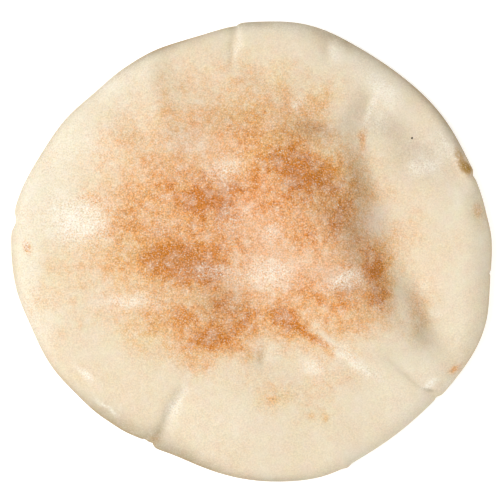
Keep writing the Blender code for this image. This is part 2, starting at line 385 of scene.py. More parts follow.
# small spots with firm borders
SPOTS = strokes(
    (7, -50.3, 2.2, 1.7, 0, 0.32),
    (12, -50, 3, 1.3, 0, 0.10),
    (25, -56.5, 1.7, 1.8, 0, 0.26),
    (20.3, -56, 1.5, 1.6, 0, 0.18),
    (-33, -64, 3, 1.8, 30, 0.22),
    (69.3, -40.3, 2.2, 1.2, 30, 0.50),
    (-76.5, 1.4, 2, 1.1, 110, 1.10),
    (77.2, 14.1, 2.6, 1.6, 90, 0.34),
    (72.5, 30, 4.5, 1.8, 125, 0.25),
)

# the underside lay on the hot stone, so it is toasted in round spots with pale dough between
STONE_TOAST = strokes(
    (-4, 4, 60, 52, 0, 0.30),
    (-30, 22, 16, 12, 30, 0.50),
    (26, 28, 14, 10, -20, 0.55),
    (4, -6, 15, 12, 0, 0.45),
    (-34, -22, 13, 10, 60, 0.50),
    (36, -18, 14, 11, 10, 0.55),
    (2, -44, 13, 9, -10, 0.45),
    (-6, 48, 15, 9, 15, 0.40),
    (-54, 2, 8, 10, 0, 0.35),
    (56, 12, 8, 12, 0, 0.30),
)

# small dark spots where the underside touched the stone first
STONE_SPOTS = strokes(
    (-33, 25, 3.2, 2.4, 20, 0.40),
    (-21, 17, 2, 2.6, 0, 0.30),
    (29, 32, 2.8, 2, -30, 0.42),
    (19, 25, 2.4, 1.6, 10, 0.30),
    (7, -9, 3, 2.2, 40, 0.36),
    (-38, -20, 2.4, 3, 0, 0.38),
    (40, -20, 3.4, 2.2, -20, 0.40),
    (30, -11, 1.8, 2.2, 0, 0.28),
    (1, -47, 3, 1.8, 15, 0.34),
    (-11, 50, 3.4, 2, 0, 0.34),
    (58, 16, 1.6, 2.6, 0, 0.26),
    (-55, -1, 1.8, 2.4, 0, 0.26),
)

# where a film of flour hides the crust, and lines of flour that are painted highlights on the lit walls of
# creases and on the lit ridge beside the lower fold
FLOUR = strokes(
    # over the toast
    (-9, 28, 6, 3.5, 20, 0.30),
    (-30, 8, 5, 3, 0, 0.14),
    (6, -7, 8, 5.5, 0, 0.40),
    (31, -8.5, 5.8, 3.6, 30, 0.04),
    (6.5, 6.5, 3.6, 3, 70, 0.32),
    (-12, -7, 10, 3, -10, 0.24),
    (-26, 37, 8, 4, -10, 0.12),
    (-6, 12, 6, 5, 0, 0.14),
    (7, -35, 4.5, 3.5, 0, 0.16),
    (21, -39, 5, 3, 0, 0.40),
    (-42, -17, 10, 3, 0, 0.34),
    (16, 51, 3.5, 1.5, 45, 0.35),
    # painted highlight: flour on the lit ridge beside the lower fold
    (24, -28.2, 10, 1.3, -50, 0.09),
    # on the pale dough
    (-66, 33, 20, 9, 65, 0.34),
    (-60, 10.5, 11, 9.5, 0, 0.62),
    (-77, -5, 4.5, 28, 0, 0.34),
    (-46, 58, 12, 5, 40, 0.28),
    (-36, 60, 3, 8, 0, 0.12),
    (-43, 46, 7, 11, 0, 0.12),
    (-52, 34, 6, 7, 0, 0.16),
    (60, 34, 9, 8, 0, 0.14),
    (-12, -59, 13, 11, 0, 0.12),
    (-72, -29, 5, 9, 0, 0.14),
    (-69, -19, 6, 9, 0, 0.16),
    (71, -23, 5, 13, 0, 0.12),
    (50, -52, 6, 9, 0, 0.12),
    (60, -41, 5, 5, 0, 0.16),
    (37, 64, 6, 6, 0, 0.16),
    (12, 77, 16, 2.5, 0, 0.20),
    (28, 68, 2, 4, 0, 0.40),
    # painted highlight: flour along the lit wall of the crease at the top
    (-4.8, 70, 7.5, 1.1, 87, 0.34),
    # painted highlight: flour along the lit wall of the crease near the top right
    (40, 49, 6, 1.2, 68, 0.40),
    (41, 11, 4, 7.5, 0, 0.06),
    (45, 56, 7, 4, -30, 0.50),
    (59, 29, 6, 3, 10, 0.36),
    (66, 36, 7, 3, 120, 0.24),
    (44, 45, 8, 5, 60, 0.25),
    (61.5, -45.2, 3, 1.2, 20, 0.70),
    (68, -45.5, 3, 1.8, 60, 0.30),
    (-56.7, -41.6, 4, 1, -45, 0.60),
    (-49, -53.5, 4.5, 0.5, -33, 0.60),
    # painted highlight: flour along the lit wall of the lower left crease
    (-25.5, -52, 8, 1.8, 68, 0.45),
    (36, -38, 10, 2.5, -35, 0.50),
    (58.5, -11.2, 1.6, 1.6, 0, 0.30),
    (63.6, -21, 1.8, 1.3, 0, 0.35),
)

# the flour patch with firm borders on the hump
FIRM_FLOUR = strokes(
    (32.8, -9.2, 5.8, 3.7, 8, 0.25),
    (27.6, -10.8, 6, 2, 28, 0.17),
)

# the toast's tint: rosy where the amount is positive, golden where it is negative
TINT = strokes(
    (4, 6, 25, 19, -30, 0.95),
    (28, -9, 14, 7, 0, 0.55),
    (-18, 34, 18, 8, 20, 0.45),
    (-66, 25, 12, 22, -20, -0.30),
    (60, 35, 10, 12, 0, 0.30),
    (-8, -20, 10, 8, 0, 0.30),
    (-42, 0, 18, 6, 0, -0.65),
    (-68, -10, 8, 12, 0, -0.45),
    (-36, -28, 12, 5, 15, -0.75),
    (-15, -30, 5, 4, 0, -0.50),
    (6, 35, 8, 6, 20, -0.85),
    (30, 27, 8, 6, -30, -0.85),
    (44, -6, 6, 9, 0, -0.70),
    (56, -26, 5, 6, 0, -0.10),
    (-3, 47, 10, 5, 0, -0.55),
    (9, 58, 4, 5, 0, -0.55),
    (23, 53, 5, 5, 0, -0.55),
    (8, -50, 8, 3, 0, -0.50),
    (24, -56, 6, 4, 0, -0.60),
    (14, -26, 4, 3, 0, -0.45),
    (76, 15, 5, 5, 0, -0.25),
    (41.5, 10.5, 6, 8, 0, 0.40),
    (-76.5, 1.4, 4, 4, 0, -0.60),
)

# where the rim touched the oven wall
SCORCH = strokes(
    (70.8, 33, 3.4, 1.6, 115, 0.64),
    (73, 29.2, 3, 1.9, 130, 1.00),
)

# painted shade on the rim's roll: how strongly it darkens around these bearings
RIM_SHADE = [
    Lobe(38, 0.75, 16),
    Lobe(68, 0.85, 12),
    Lobe(90, 0.95, 11),
    Lobe(116, 1.00, 11),
    Lobe(148, 0.45, 26),
    Lobe(190, 0.45, 20),
    Lobe(230, 0.95, 14),
    Lobe(252, 1.00, 12),
    Lobe(276, 0.70, 14),
]

# where the painted shade on the rim's roll reaches further in
RIM_SHADE_WIDER = [
    Lobe(72, 0.0016, 14),
    Lobe(230, 0.0024, 12),
    Lobe(250, 0.0020, 14),
]

# painted shade along the waist: a thin darker line at the edge, strongest around these bearings
WAIST_SHADE = [
    Lobe(45, 0.45, 40),
    Lobe(118, 0.50, 18),
    Lobe(152, 0.35, 14),
    Lobe(226, 0.45, 22),
    Lobe(256, 0.30, 14),
    Lobe(350, 0.25, 24),
]

# painted shade on the top: darker crust in hollows and valleys and on slopes turned from the light
PAINTED_SHADE_STROKES = strokes(
    (20, 41, 8, 3.5, 0, 0.50),
    (-23, 40, 6, 4, 0, 0.16),
    (29, 11, 8, 7, 60, 0.24),
    (35.5, 22, 4, 17, 10, 0.26),
    (40, 42, 9, 4.5, 0, 0.30),
    (57, 32, 10, 8, 0, 0.44),
    (67, 38, 3, 7, 30, 0.50),
    (34.5, 47, 8.5, 3.2, 65, 0.34),
    (47.5, 43, 6.5, 4, -35, 0.24),
    (22, 40, 5, 3, 0, 0.20),
    (-9, -18, 10, 5.5, 0, 0.40),
    (35, 6, 4, 6, 0, 0.34),
    (35, -3, 3.5, 3.5, 0, 0.24),
    (-23, 37, 8, 6, 0, 0.16),
    (57.5, -26, 7, 2.6, -72, 0.42),
    (-31, 62, 4, 8, 0, 0.16),
    (-6, 43, 14, 6, 0, 0.18),
    (24, 20, 5, 6, 0, 0.14),
    (32, -12, 6, 3, 0, 0.40),
    (46.5, -15, 3.5, 6, 10, 0.20),
    (76, 16, 3, 6, 10, 0.34),
)

# painted shade: fine darker lines at the foot of the folds and on the walls of creases turned from the light
CREASE_SHADE_LINES = strokes(
    (-29, -55.5, 11, 1.6, 67, 0.45),
    (-32.5, -62.5, 3.5, 3, 67, 0.40),
    (3, -36.2, 3.8, 1.6, 80, 0.75),
    (52.5, -42, 7, 1.1, -41, 0.34),
    (60.8, -47.2, 2.6, 0.6, -17, 0.90),
    (40.8, -41.2, 5.5, 1.4, -30, 0.26),
    (-7.3, 70.5, 7.5, 1.1, 87, 0.32),
    (24.8, 69, 5, 1.8, 85, 0.18),
)

# where a burnt flake of dough stuck
CHAR_FLAKE = (0.0549, 0.0388)


def linear(hex_colour):
    """An sRGB hex colour such as "E8D5B0" as linear red, green, blue and alpha."""
    levels = [int(hex_colour[k : k + 2], 16) / 255.0 for k in (0, 2, 4)]
    return tuple(v / 12.92 if v <= 0.04045 else ((v + 0.055) / 1.055) ** 2.4 for v in levels) + (1.0,)


def smooth(share):
    """0 below 0, 1 above 1, and the smooth S curve 3 share squared less 2 share cubed between them."""
    share = np.clip(share, 0.0, 1.0)
    return share * share * (3.0 - 2.0 * share)


def turn_from(bearing, degrees):
    """The signed turn from a bearing given in degrees to the ones in the array, in radians."""
    return (bearing - math.radians(degrees) + math.pi) % (2.0 * math.pi) - math.pi


def lobes(bearing, listed):
    """The sum of bell curves of the turn from each lobe's bearing."""
    total = np.zeros_like(bearing)
    for lobe in listed:
        total += lobe.swell * np.exp(-((turn_from(bearing, lobe.bearing) / math.radians(lobe.spread)) ** 2))
    return total


def nicks(bearing, base_radius):
    """How far the nicks and the laps beside them move the edge out, negative for inwards."""
    total = np.zeros_like(bearing)
    for nick in NICKS:
        along = turn_from(bearing, nick.bearing) * base_radius
        total -= nick.depth * np.exp(-((along / nick.reach) ** 2))
        beside = np.maximum(along * np.sign(nick.lap), 0.0)
        total += abs(nick.lap) * (1.0 - np.exp(-beside / nick.reach)) * np.exp(-beside / nick.run)
    return total


def crease_relief(x, y, crease):
    """A valley along a bowed line, whose depth falls off as exp(-(distance / width) ** bottom)."""
    run = np.subtract(crease.end, crease.start)
    length = math.hypot(*run)
    run = run / length
    from_start_x = x - crease.start[0]
    from_start_y = y - crease.start[1]
    along = from_start_x * run[0] + from_start_y * run[1]
    share = np.clip(along / length, 0.0, 1.0)
    aside = from_start_y * run[0] - from_start_x * run[1] - crease.bow * 4.0 * share * (1.0 - share)
    width = np.where(aside > 0.0, crease.left, crease.right)
    valley = np.exp(-((np.abs(aside) / width) ** crease.bottom))
    fade_in = smooth((along + crease.fade_in) / (2.0 * crease.fade_in))
    fade_out = smooth((length - along + crease.fade_out) / (2.0 * crease.fade_out))
    return -crease.depth * valley * fade_in * fade_out


def oval(x, y, stroke, power=1.0):
    """A bell curve in two directions, exp(-(distance over size) ** (2 * power)), turned to the bearing."""
    angle = math.radians(stroke.bearing)
    from_x = x - stroke.at[0]
    from_y = y - stroke.at[1]
    along = (from_x * math.cos(angle) + from_y * math.sin(angle)) / stroke.length
    aside = (from_y * math.cos(angle) - from_x * math.sin(angle)) / stroke.width
    return np.exp(-((along**2 + aside**2) ** power))


def mottle(x, y, grain, seed):
    """Smooth chance hills from -0.5 to 0.5: one random height every grain, joined by S curves."""
    cells = 512
    heights = np.random.default_rng(seed).random((cells, cells)) - 0.5
    across = x / grain + cells / 2 + 0.37
    up = y / grain + cells / 2 + 0.71
    column = np.floor(across).astype(int)
    row = np.floor(up).astype(int)
    part_across = smooth(across - column)
    part_up = smooth(up - row)
    column, row = column % cells, row % cells
    next_column, next_row = (column + 1) % cells, (row + 1) % cells
    low = heights[column, row] * (1 - part_across) + heights[next_column, row] * part_across
    high = heights[column, next_row] * (1 - part_across) + heights[next_column, next_row] * part_across
    return low * (1 - part_up) + high * part_up


def chance_hills(x, y, layers):
    """The sum of the layers' mottles, each times its strength."""
    return sum(strength * mottle(x, y, grain, seed) for strength, grain, seed in layers)


def top_height(x, y, inset, share, roll, form):
    """The crust's height: a quarter round roll at the rim, then the crown, the creases and the puffs.

    inset is the distance in from the edge, and share is the distance out from the middle over the radius.
    """
    out = np.clip(1.0 - inset / roll, 0.0, 1.0)
    height = form.waist_height + (form.shoulder_height - form.waist_height) * np.sqrt(1.0 - out**2)
    height += form.crown_rise * (1.0 - share**2)
    relief = chance_hills(x, y, SKIN_HILLS)
    for crease in CREASES + SPLITS:
        relief += crease_relief(x, y, crease)
    for puff in PUFFS:
        relief += puff.amount * oval(x, y, puff)
    return height + relief * smooth(inset / form.relief_fade)


def painted(x, y, listed, bend=SOFT_BEND, power=SOFT_POWER):
    """The sum of strokes whose borders are bent by small chance shifts. A high power makes them firm."""
    bent_x = x + bend * chance_hills(x, y, BEND_ACROSS)
    bent_y = y + bend * chance_hills(x, y, BEND_UP)
    total = np.zeros_like(x)
    for stroke in listed:
        total += stroke.amount * oval(bent_x, bent_y, stroke, power)
    return total


def toast_amount(x, y, listed):
    """How far along from pale dough to the darkest toast: strokes, broken into lumps 1 to 6 mm wide."""
    toast = painted(x, y, listed) * (1.0 + chance_hills(x, y, TOAST_LUMPS))
    toast += chance_hills(x, y, TOAST_FRAYS) * np.minimum(toast * 5.0, 1.0)
    return DOUGH_TONE + TOAST_REACH * np.clip(toast, 0.0, 1.5) + chance_hills(x, y, WARMTH)


def tint_amount(x, y):
    """Golden at 0, plain at 0.5 and rosy at 1: the tint's strokes and small chance hills."""
    return np.clip(0.5 + 0.5 * painted(x, y, TINT) + chance_hills(x, y, TINT_HILLS), 0.0, 1.0)


def crust_marks(x, y, inset, bearing, below, form):
    """The strength of each kind of mark at every point, by the name of the attribute that holds it.

    The painted shade along the waist and the painted shade on the rim's roll fall off inwards as
    exp(-(inset / width) ** 2), and the rest are strokes.
    """
    top_toast = toast_amount(x, y, TOAST) + TOAST_REACH * painted(x, y, SPOTS, bend=0.0)
    stone_spots = painted(x, y, STONE_SPOTS, SPOT_BEND, SPOT_POWER)
    under_toast = toast_amount(x, y, STONE_TOAST) + TOAST_REACH * stone_spots
    strewn = painted(x, y, FLOUR) + painted(x, y, FIRM_FLOUR, FIRM_BEND, FIRM_POWER)
    # painted shade: a thin darker line at the very edge, along the waist
    waist_shade = lobes(bearing, WAIST_SHADE) * np.exp(-((inset / form.waist_shade_width) ** 2))
    scorched = np.where(below, 0.0, painted(x, y, SCORCH, FIRM_BEND, FIRM_POWER))
    # painted shade on the rim's roll, darker towards the edge
    rim_shade_width = form.rim_shade_width + lobes(bearing, RIM_SHADE_WIDER)
    painted_shade = lobes(bearing, RIM_SHADE) * np.exp(-((inset / rim_shade_width) ** 2))
    # painted shade in hollows and valleys, on slopes turned from the light, and at the foot of creases
    shade = painted(x, y, PAINTED_SHADE_STROKES) + painted(x, y, CREASE_SHADE_LINES, LINE_BEND, LINE_POWER)
    return {
        "toast": np.where(below, under_toast, top_toast),
        "flour": np.where(below, UNDER_FLOUR, strewn),
        "tint": np.where(below, UNDER_TINT, tint_amount(x, y)),
        # the scorched rim, and painted shade along the waist
        "scorch_and_waist_shade": np.clip(scorched + waist_shade, 0.0, 1.0),
        # painted shade on the rim's roll, and on the top's hollows, valleys and creases
        "painted_shade": np.clip(painted_shade + np.where(below, 0.0, shade), 0.0, 1.0),
    }


def crust_grid(form):
    """The whole skin as rings of points from the top's middle over the rim to the underside's middle.

    The outline is centred on its own box before the relief is placed on it. Returns x, y, z, the inset from
    the edge, and which points are on the underside, each rings by sectors.
    """
    bearing = np.linspace(0.0, 2.0 * math.pi, form.sectors, endpoint=False)[None, :]
    radius = form.base_radius + lobes(bearing, OUTLINE)
    roll = form.rim_roll + lobes(bearing, STEEPER_ROLL)
    flat = np.linspace(0.0, 1.0, form.top_rings + 1)[1:, None]
    round_over = np.linspace(0.0, 1.0, form.roll_rings + 1)[1:, None] * math.pi / 2.0
    tuck = np.linspace(0.0, 1.0, form.tuck_rings + 1)[1:, None] * math.pi / 2.0
    under = np.linspace(1.0, 0.0, form.under_rings + 1)[1:-1, None]
    inset = np.concatenate(
        [
            radius - (radius - roll) * flat,
            roll * (1.0 - np.sin(round_over)),
            form.under_roll * (1.0 - np.cos(tuck)) * np.ones_like(bearing),
            radius - (radius - form.under_roll) * under,
        ]
    )
    rings_above = form.top_rings + form.roll_rings
    below = np.arange(inset.shape[0])[:, None] >= rings_above
    edge_shift = nicks(bearing, form.base_radius) * smooth(1.0 - inset / form.nick_reach)
    reach = radius - inset + edge_shift
    x = reach * np.cos(bearing)
    y = reach * np.sin(bearing)
    x -= (x.min() + x.max()) / 2.0
    y -= (y.min() + y.max()) / 2.0
    share = 1.0 - inset / radius
    top = top_height(x, y, inset, share, roll, form)
    z = np.where(below, underside_height(x, y, inset, form), top)
    return x, y, z, inset, np.broadcast_to(below, x.shape)


def underside_height(x, y, inset, form):
    """The underside: a quarter round tuck up to the waist, and shallow hollows between flat places."""
    out = np.clip(1.0 - inset / form.under_roll, 0.0, 1.0)
    tuck = form.waist_height * (1.0 - np.sqrt(1.0 - out**2))
    hollows = np.maximum(chance_hills(x, y, UNDER_HILLS), 0.0)
    return tuck + hollows * smooth(inset / form.relief_fade)


def crust_height_at(x, y, form):
    """The height of the crust's top over any point inside the rim."""
    bearing = np.arctan2(y, x)
    radius = form.base_radius + lobes(bearing, OUTLINE)
    reach = np.hypot(x, y)
    roll = form.rim_roll + lobes(bearing, STEEPER_ROLL)
    return top_height(x, y, radius - reach, reach / radius, roll, form)


def lumps_on_crust(name, x, y, size, seed, form):
    """A mesh of small uneven lumps, one on the crust at each place.

    A lump is a ball of 12 points, two poles and two turned rings of five, whose points are moved in or out
    by chance. It is flattened, stretched and turned about Z by chance, and pressed a little into the crust.
    """
    chance = np.random.default_rng(seed)
    fifth = 2.0 * math.pi / 5.0
    ring = np.arange(5)
    level = 1.0 / math.sqrt(5.0)
    reach = 2.0 * level
    upper = np.stack([reach * np.cos(fifth * ring), reach * np.sin(fifth * ring), np.full(5, level)], axis=-1)
    turned = fifth * (ring + 0.5)
    lower = np.stack([reach * np.cos(turned), reach * np.sin(turned), np.full(5, -level)], axis=-1)
    ball = np.concatenate([[(0.0, 0.0, 1.0)], upper, lower, [(0.0, 0.0, -1.0)]])
    after = (ring + 1) % 5
    faces = np.concatenate(
        [
            np.stack([0 * ring, 1 + ring, 1 + after], axis=-1),
            np.stack([1 + ring, 6 + ring, 1 + after], axis=-1),
            np.stack([6 + ring, 6 + after, 1 + after], axis=-1),
            np.stack([0 * ring + 11, 6 + after, 6 + ring], axis=-1),
        ]
    )
    count = len(x)
    uneven = 1.0 + LUMP_UNEVENNESS * (chance.random((count, 12, 1)) - 0.5)
    lumps = ball[None] * uneven * size[:, None, None] * np.array([1.0, 1.0, LUMP_FLATNESS])
    long_way = 1.0 + LUMP_STRETCH * chance.random((count, 1))
    turn = 2.0 * math.pi * chance.random((count, 1))
    along, aside = lumps[:, :, 0] * long_way, lumps[:, :, 1]
    z = crust_height_at(x, y, form) + LUMP_LIFT * LUMP_FLATNESS * size
    points = np.stack(
        [
            x[:, None] + along * np.cos(turn) - aside * np.sin(turn),
            y[:, None] + along * np.sin(turn) + aside * np.cos(turn),
            z[:, None] + lumps[:, :, 2],
        ],
        axis=-1,
    )
    triangles = faces[None] + 12 * np.arange(count)[:, None, None]
    return mesh_from(name, points.reshape(-1, 3), NO_FACES, triangles.reshape(-1, 3))


def closed_skin(x, y, z, top_pole, under_pole):
    """Points and faces of a closed surface: the two poles, then the rings, joined by quads and two fans."""
    rings, sectors = x.shape
    points = np.concatenate([[top_pole, under_pole], np.stack([x, y, z], axis=-1).reshape(-1, 3)])
    here = np.arange(sectors)
    after = (here + 1) % sectors
    starts = 2 + sectors * np.arange(rings - 1)[:, None]
    quads = np.stack(
        [starts + here, starts + sectors + here, starts + sectors + after, starts + after], axis=-1
    ).reshape(-1, 4)
    last = 2 + sectors * (rings - 1)
    top_fan = np.stack([np.zeros_like(here), 2 + here, 2 + after], axis=-1)
    under_fan = np.stack([np.ones_like(here), last + after, last + here], axis=-1)
    return points, quads, np.concatenate([top_fan, under_fan])


def mesh_from(name, points, quads, triangles):
    """A mesh with these points and faces, smooth shaded."""
    mesh = bpy.data.meshes.new(name)
    corners = np.concatenate([quads.ravel(), triangles.ravel()]).astype(np.int32)
    sizes = np.concatenate([np.full(len(quads), 4), np.full(len(triangles), 3)])
    mesh.vertices.add(len(points))
    mesh.loops.add(len(corners))
    mesh.polygons.add(len(sizes))
    mesh.vertices.foreach_set("co", points.astype(np.float32).ravel())
    mesh.loops.foreach_set("vertex_index", corners)
    mesh.polygons.foreach_set("loop_start", np.concatenate([[0], np.cumsum(sizes)[:-1]]).astype(np.int32))
    mesh.update(calc_edges=True)
    mesh.validate()
    mesh.shade_smooth()
    return mesh


def paint(mesh, name, values):
    """Stores one number for each point as a named attribute."""
    layer = mesh.attributes.new(name, "FLOAT", "POINT")
    layer.data.foreach_set("value", np.asarray(values, dtype=np.float32).ravel())


def skin_shares(x, y, z, pole_x, pole_y, above):
    """How far out each ring's points are over the skin, from 0 at their side's pole to 1 at the waist.

    The first rings, as many as above says, are the top's, and the others are the underside's. The distance
    is the sum of the straight steps from ring to ring.
    """
    step = np.hypot(np.hypot(np.diff(x, axis=0), np.diff(y, axis=0)), np.diff(z, axis=0))
    first_step = np.hypot(x[:1] - pole_x, y[:1] - pole_y)
    last_step = np.hypot(x[-1:] - pole_x, y[-1:] - pole_y)
    from_top = first_step + np.concatenate([0.0 * step[:1], np.cumsum(step, axis=0)])
    from_under = from_top[-1:] - from_top + last_step
    waist = above - 1
    return np.concatenate([from_top[:above] / from_top[waist], from_under[above:] / from_under[waist]])


def lay_out_uv(mesh, shares, bearing, below):
    """Two round UV islands, one for the top with the rim's roll and one for the underside.

    A point lies at its bearing, and its distance from the island's middle is its share of the radius.
    """
    corner_vertex = np.empty(len(mesh.loops), dtype=np.int32)
    mesh.loops.foreach_get("vertex_index", corner_vertex)
    starts = np.empty(len(mesh.polygons), dtype=np.int32)
    sizes = np.empty(len(mesh.polygons), dtype=np.int32)
    mesh.polygons.foreach_get("loop_start", starts)
    mesh.polygons.foreach_get("loop_total", sizes)
    corner_face = np.repeat(np.arange(len(starts)), sizes)
    face_below = np.maximum.reduceat(below[corner_vertex].astype(int), starts) > 0
    on_under = face_below[corner_face]
    # a top point used by an underside face is the waist, at the rim of that island
    share = np.where(on_under & ~below[corner_vertex], 1.0, shares[corner_vertex])
    turn = bearing[corner_vertex]
    middle = np.where(on_under, UNDER_ISLAND[0], TOP_ISLAND[0])
    reach = np.where(on_under, UNDER_ISLAND[1], TOP_ISLAND[1]) * share
    uv = np.stack([middle + reach * np.cos(turn), middle + reach * np.sin(turn)], axis=-1)
    layer = mesh.uv_layers.new(name="OFBake")
    layer.data.foreach_set("uv", uv.astype(np.float32).ravel())


def add_node(tree, kind, inputs=None, stops=None, **settings):
    """Adds a node, sets its properties, fills or links its inputs and, on a ramp, places the colour stops.

    Inputs 1 to 4 of a Map Range are from min, from max, to min and to max. The two colours of a Mix are 6
    and 7, and its colour output is 2.
    """
    node = tree.nodes.new(kind)
    for name, value in settings.items():
        setattr(node, name, value)
    for socket, value in (inputs or {}).items():
        if isinstance(value, bpy.types.NodeSocket):
            tree.links.new(value, node.inputs[socket])
        else:
            node.inputs[socket].default_value = value
    if stops:
        ramp = node.color_ramp
        while len(ramp.elements) < len(stops):
            ramp.elements.new(1.0)
        for element, (position, colour) in zip(ramp.elements, stops):
            element.position = position
            element.color = colour
    return node


def new_material(name):
    """An empty node material with a Principled shader, and its node tree."""
    material = bpy.data.materials.new(name)
    material.use_nodes = True
    return material, material.node_tree, material.node_tree.nodes["Principled BSDF"]


def baked_wheat_crust(look):
    """Baked wheat dough: a thin dry skin, cream where pale and brown where the oven toasted it.

    It gives a matt surface with no clear highlight. Toast shows as brown lumps broken up by fine white
    grains of dusting flour, and by blisters of 0.3 to 0.7 mm whose pores carry painted shade and whose tops
    carry a painted highlight, as chance brightness in the colour.
    """
    material, tree, shader = new_material("baked wheat crust")
    place = add_node(tree, "ShaderNodeTexCoord").outputs["Object"]
    toast, flour, tint, scorch_and_waist_shade, painted_shade = (
        add_node(tree, "ShaderNodeAttribute", attribute_name=name).outputs["Fac"]
        for name in ("toast", "flour", "tint", "scorch_and_waist_shade", "painted_shade")
    )
    blotches, grains, specks, hazes = (
        add_node(tree, "ShaderNodeTexNoise", {"Vector": place, "Scale": 1.0 / size, "Detail": detail}).outputs
        for size, detail in (
            (look.blotch_size, 3.0),
            (look.grain_size, 1.0),
            (look.speck_size, 0.0),
            (look.haze_size, 2.0),
        )
    )
    # a speck's three channels are three separate patterns
    sifting, pores, patches = add_node(tree, "ShaderNodeSeparateColor", {0: specks["Color"]}).outputs[:3]
    # toast times its blotches
    blotched = add_node(
        tree, "ShaderNodeMapRange", {0: blotches[0], 1: 0.25, 2: 0.75, 3: 0.78, 4: 1.34}
    ).outputs[0]
    grained = add_node(
        tree, "ShaderNodeMapRange", {0: grains[0], 1: 0.25, 2: 0.75, 3: 0.85, 4: 1.25}
    ).outputs[0]
    mottled = add_node(tree, "ShaderNodeMath", {0: blotched, 1: grained}, operation="MULTIPLY").outputs[0]
    brown = add_node(tree, "ShaderNodeMath", {0: toast, 1: mottled}, operation="MULTIPLY").outputs[0]
    stops = [
        (0.00, look.floured_dough),
        (0.06, look.dough),
        (0.16, look.warm_dough),
        (0.37, look.light_toast),
        (0.58, look.toast),
        (0.79, look.deep_toast),
        (1.00, look.darkest_toast),
    ]
    crust = add_node(tree, "ShaderNodeValToRGB", {0: brown}, stops=stops).outputs["Color"]
    # a golden to rosy tint, the painted shade on the rim's roll, in hollows and in creases, and scorched
    # dough with the painted shade along the waist
    tinting = add_node(
        tree, "ShaderNodeMix", {0: tint, 6: look.golden_tint, 7: look.rosy_tint}, data_type="RGBA"
    ).outputs[2]
    tinted = add_node(
        tree, "ShaderNodeMix", {0: 1.0, 6: crust, 7: tinting}, data_type="RGBA", blend_type="MULTIPLY"
    ).outputs[2]
    painted_shaded = add_node(
        tree, "ShaderNodeMix", {0: painted_shade, 6: tinted, 7: look.painted_shade}, data_type="RGBA", blend_type="MULTIPLY"
    ).outputs[2]
    # scorched dough, and painted shade along the waist in the same colour
    scorched = add_node(
        tree, "ShaderNodeMix", {0: scorch_and_waist_shade, 6: painted_shaded, 7: look.scorch_and_waist_shade}, data_type="RGBA"
    ).outputs[2]
    # painted shade in pores and a painted highlight on blisters, as chance brightness in the colour: plain in
    # the toast, less under flour and faint in the pale dough
    covered = add_node(
        tree, "ShaderNodeMath", {0: flour, 1: 0.35, 2: toast}, operation="MULTIPLY_ADD"
    ).outputs[0]
    contrast = add_node(
        tree, "ShaderNodeMapRange", {0: covered, 1: 0.05, 2: 0.55, 3: 0.16, 4: 0.94}
    ).outputs[0]
    pore = add_node(tree, "ShaderNodeMath", {0: pores, 1: 0.5}, operation="SUBTRACT").outputs[0]
    shade = add_node(
        tree, "ShaderNodeMath", {0: pore, 1: contrast, 2: 0.96}, operation="MULTIPLY_ADD"
    ).outputs[0]
    shaded = add_node(
        tree, "ShaderNodeMix", {0: 1.0, 6: scorched, 7: shade}, data_type="RGBA", blend_type="MULTIPLY"
    ).outputs[2]
    # flour lies as a film where it was strewn, broken most over the blistered toast, and as single grains
    sticking = add_node(
        tree, "ShaderNodeMapRange", {0: covered, 1: 0.05, 2: 0.55, 3: 0.42, 4: 0.94}
    ).outputs[0]
    patchy = add_node(tree, "ShaderNodeMath", {0: patches, 1: 0.5}, operation="SUBTRACT").outputs[0]
    breaking = add_node(tree, "ShaderNodeMath", {0: patchy, 1: sticking}, operation="MULTIPLY").outputs[0]
    broken = add_node(
        tree, "ShaderNodeMath", {0: breaking, 1: 4.2, 2: 1.0}, operation="MULTIPLY_ADD"
    ).outputs[0]
    film = add_node(tree, "ShaderNodeMath", {0: flour, 1: broken}, operation="MULTIPLY").outputs[0]
    hazed = add_node(tree, "ShaderNodeMapRange", {0: hazes[0], 1: 0.48, 2: 0.72, 3: 0.0, 4: 0.25}).outputs[0]
    sifted = add_node(
        tree, "ShaderNodeMapRange", {0: sifting, 1: 0.54, 2: 0.76, 3: 0.0, 4: 0.36}
    ).outputs[0]
    loose = add_node(tree, "ShaderNodeMath", {0: hazed, 1: sifted}, operation="ADD").outputs[0]
    stuck = add_node(tree, "ShaderNodeMath", {0: loose, 1: sticking}, operation="MULTIPLY").outputs[0]
    veil = add_node(tree, "ShaderNodeMath", {0: film, 1: stuck}, operation="ADD", use_clamp=True).outputs[0]
    floured = add_node(
        tree, "ShaderNodeMix", {0: veil, 6: shaded, 7: look.flour}, data_type="RGBA"
    ).outputs[2]
    tree.links.new(floured, shader.inputs["Base Color"])
    # flour scatters light, toasted skin is a little smoother
    roughness = add_node(
        tree, "ShaderNodeMapRange", {0: brown, 1: 0.0, 2: 1.0, 3: 0.90, 4: 0.74}
    ).outputs[0]
    tree.links.new(roughness, shader.inputs["Roughness"])
    # the toasted skin is blistered, while pale dough stays smooth
    skin = add_node(tree, "ShaderNodeMath", {0: grains[0], 1: pores}, operation="ADD").outputs[0]
    bump = add_node(
        tree, "ShaderNodeBump", {"Height": skin, "Distance": look.skin_depth, "Strength": contrast}
    ).outputs[0]
    tree.links.new(bump, shader.inputs["Normal"])
    shader.inputs["IOR"].default_value = 1.45
    shader.inputs["Specular IOR Level"].default_value = 0.30
    shader.inputs["Subsurface Weight"].default_value = 0.10
    shader.inputs["Subsurface Radius"].default_value = (1.0, 0.55, 0.25)
    shader.inputs["Subsurface Scale"].default_value = 0.0008
    return material


